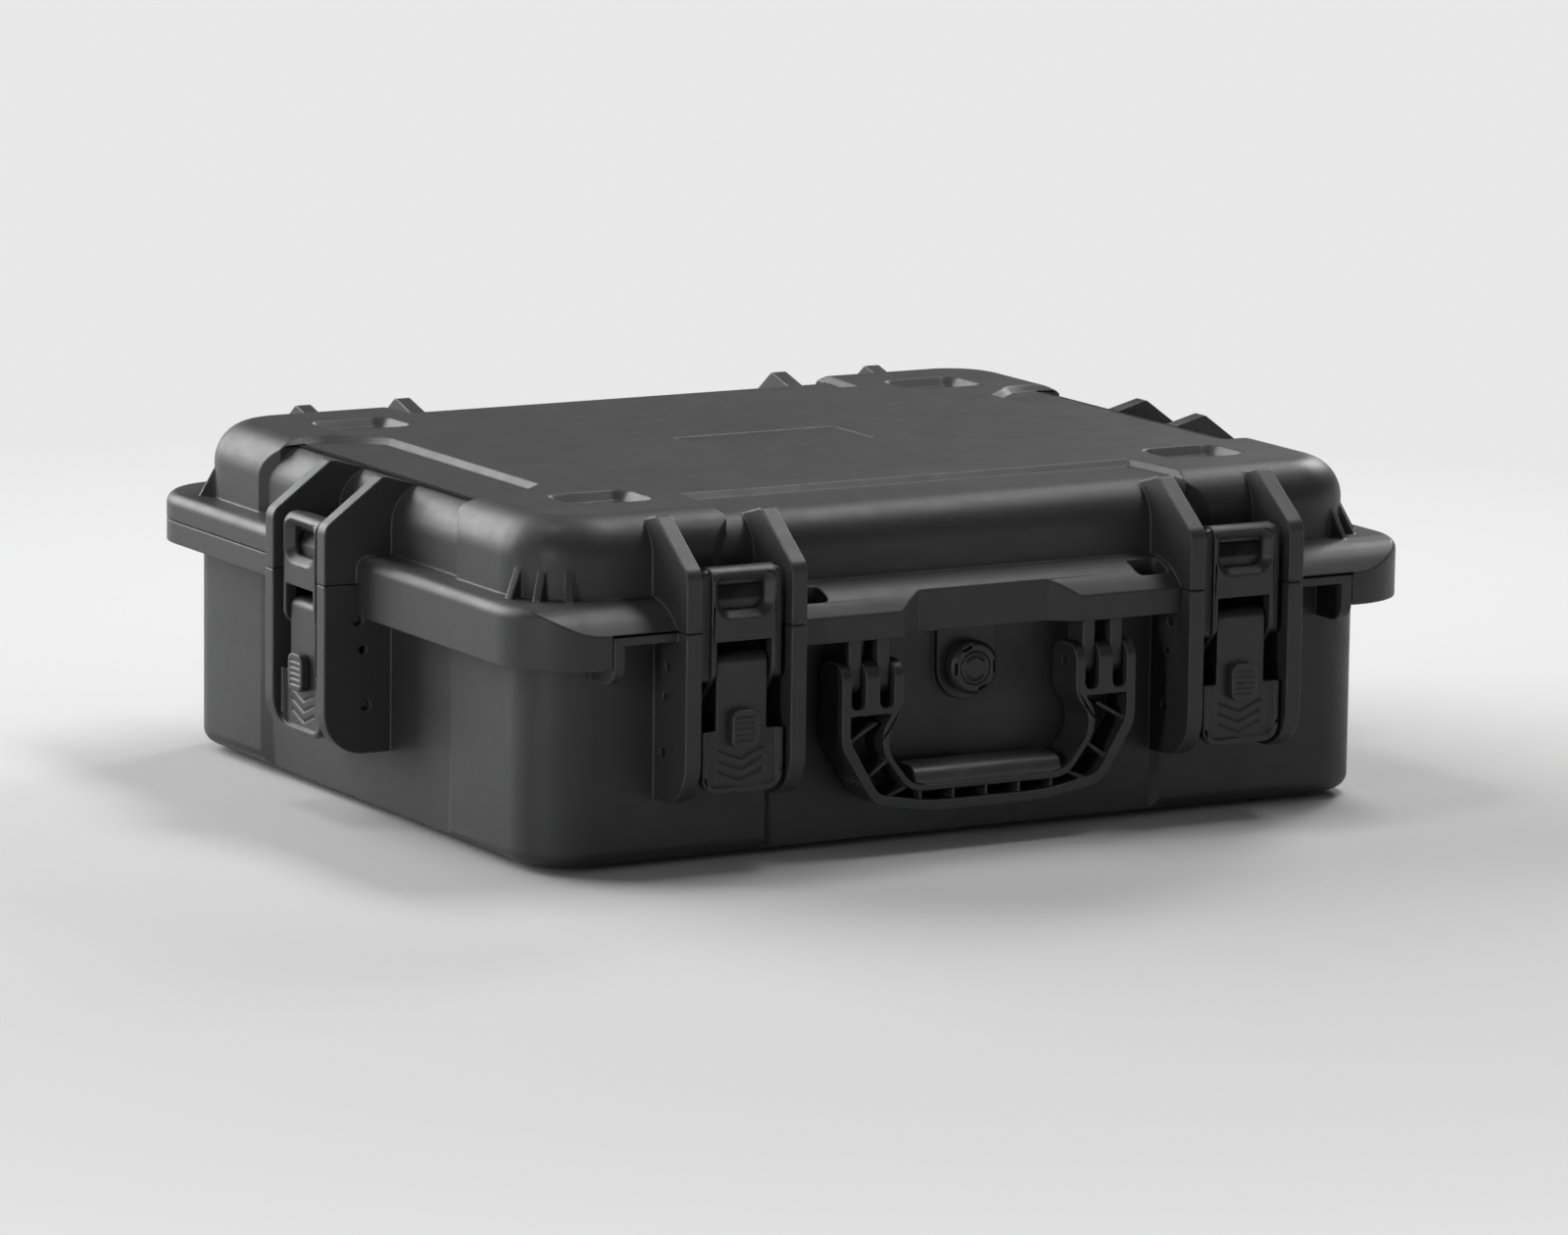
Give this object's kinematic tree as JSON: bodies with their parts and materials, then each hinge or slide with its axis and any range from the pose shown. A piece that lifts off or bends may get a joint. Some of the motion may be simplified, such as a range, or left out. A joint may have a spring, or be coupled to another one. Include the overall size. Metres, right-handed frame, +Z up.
{
  "type": "equipment case",
  "caption": "Hard moulded equipment case with hinged lid, over-centre latches with lock sliders, folding carrying handle and pressure valve.",
  "frame": {"origin": "on the floor below the middle of the case", "axes": "+X along the front to the right, +Y from front to back, +Z up"},
  "size_m": [0.5522, 0.4642, 0.1754],
  "materials": {
    "shell": "satin moulded polypropylene",
    "latch": "satin moulded nylon",
    "handle": "satin moulded nylon",
    "valve": "satin moulded nylon",
    "rubber": "matt",
    "steel": "ground"
  },
  "bodies": {
    "base": {"base_shell": "shell", "hinge_pin_left": "steel", "hinge_pin_right": "steel", "lever_pin_front_left": "steel", "lock_bar_front_left": "steel", "lever_pin_front_right": "steel", "lock_bar_front_right": "steel", "lever_pin_side_left": "steel", "lock_bar_side_left": "steel", "lever_pin_side_right": "steel", "lock_bar_side_right": "steel", "handle_pin_left": "steel", "handle_pin_right": "steel", "valve_body": "valve", "valve_seal": "rubber", "valve_nut": "valve"},
    "lid": {"lid_shell": "shell", "lid_gasket": "rubber"},
    "lever_front_left": {"lever_front_left": "latch", "catch_pin_front_left": "steel"},
    "catch_front_left": {"catch_front_left": "latch"},
    "slider_front_left": {"lock_slider_front_left": "latch"},
    "lever_front_right": {"lever_front_right": "latch", "catch_pin_front_right": "steel"},
    "catch_front_right": {"catch_front_right": "latch"},
    "slider_front_right": {"lock_slider_front_right": "latch"},
    "lever_side_left": {"lever_side_left": "latch", "catch_pin_side_left": "steel"},
    "catch_side_left": {"catch_side_left": "latch"},
    "slider_side_left": {"lock_slider_side_left": "latch"},
    "lever_side_right": {"lever_side_right": "latch", "catch_pin_side_right": "steel"},
    "catch_side_right": {"catch_side_right": "latch"},
    "slider_side_right": {"lock_slider_side_right": "latch"},
    "handle": {"handle_frame": "handle", "handle_grip": "rubber"},
    "valve_knob": {"valve_knob": "valve"}
  },
  "joints": [
    {"name": "lid_hinge", "type": "hinge", "parent": "base", "child": "lid", "pos_m": [0, 0.222, 0.1217], "axis": [-1, 0, 0], "range_deg": [0, 105]},
    {"name": "lever_turn_front_left", "type": "hinge", "parent": "base", "child": "lever_front_left", "pos_m": [-0.1444, -0.2131, 0.1032], "axis": [-1, 0, 0], "range_deg": [0, 75]},
    {"name": "catch_turn_front_left", "type": "hinge", "parent": "lever_front_left", "child": "catch_front_left", "pos_m": [-0.1444, -0.2104, 0.0882], "axis": [-1, 0, 0], "range_deg": [-75, 0]},
    {"name": "slider_travel_front_left", "type": "slide", "parent": "lever_front_left", "child": "slider_front_left", "axis": [0, 0, -1], "range_m": [0, 0.006]},
    {"name": "lever_turn_front_right", "type": "hinge", "parent": "base", "child": "lever_front_right", "pos_m": [0.1444, -0.2131, 0.1032], "axis": [-1, 0, 0], "range_deg": [0, 75]},
    {"name": "catch_turn_front_right", "type": "hinge", "parent": "lever_front_right", "child": "catch_front_right", "pos_m": [0.1444, -0.2104, 0.0882], "axis": [-1, 0, 0], "range_deg": [-75, 0]},
    {"name": "slider_travel_front_right", "type": "slide", "parent": "lever_front_right", "child": "slider_front_right", "axis": [0, 0, -1], "range_m": [0, 0.006]},
    {"name": "lever_turn_side_left", "type": "hinge", "parent": "base", "child": "lever_side_left", "pos_m": [-0.2571, 0, 0.1032], "axis": [0, 1, 0], "range_deg": [0, 75]},
    {"name": "catch_turn_side_left", "type": "hinge", "parent": "lever_side_left", "child": "catch_side_left", "pos_m": [-0.2544, 0, 0.0882], "axis": [0, 1, 0], "range_deg": [-75, 0]},
    {"name": "slider_travel_side_left", "type": "slide", "parent": "lever_side_left", "child": "slider_side_left", "axis": [0, 0, -1], "range_m": [0, 0.006]},
    {"name": "lever_turn_side_right", "type": "hinge", "parent": "base", "child": "lever_side_right", "pos_m": [0.2571, 0, 0.1032], "axis": [0, -1, 0], "range_deg": [0, 75]},
    {"name": "catch_turn_side_right", "type": "hinge", "parent": "lever_side_right", "child": "catch_side_right", "pos_m": [0.2544, 0, 0.0882], "axis": [0, -1, 0], "range_deg": [-75, 0]},
    {"name": "slider_travel_side_right", "type": "slide", "parent": "lever_side_right", "child": "slider_side_right", "axis": [0, 0, -1], "range_m": [0, 0.006]},
    {"name": "handle_swing", "type": "hinge", "parent": "base", "child": "handle", "pos_m": [0, -0.2115, 0.088], "axis": [-1, 0, 0], "range_deg": [0, 95]},
    {"name": "valve_turn", "type": "hinge", "parent": "base", "child": "valve_knob", "pos_m": [0, -0.199, 0.0876], "axis": [0, -1, 0], "range_deg": [0, 90]}
  ],
  "couplings": [
    {"joint": "catch_turn_front_left", "follows": "lever_turn_front_left", "ratio": -1},
    {"joint": "catch_turn_front_right", "follows": "lever_turn_front_right", "ratio": -1},
    {"joint": "catch_turn_side_left", "follows": "lever_turn_side_left", "ratio": -1},
    {"joint": "catch_turn_side_right", "follows": "lever_turn_side_right", "ratio": -1}
  ]
}
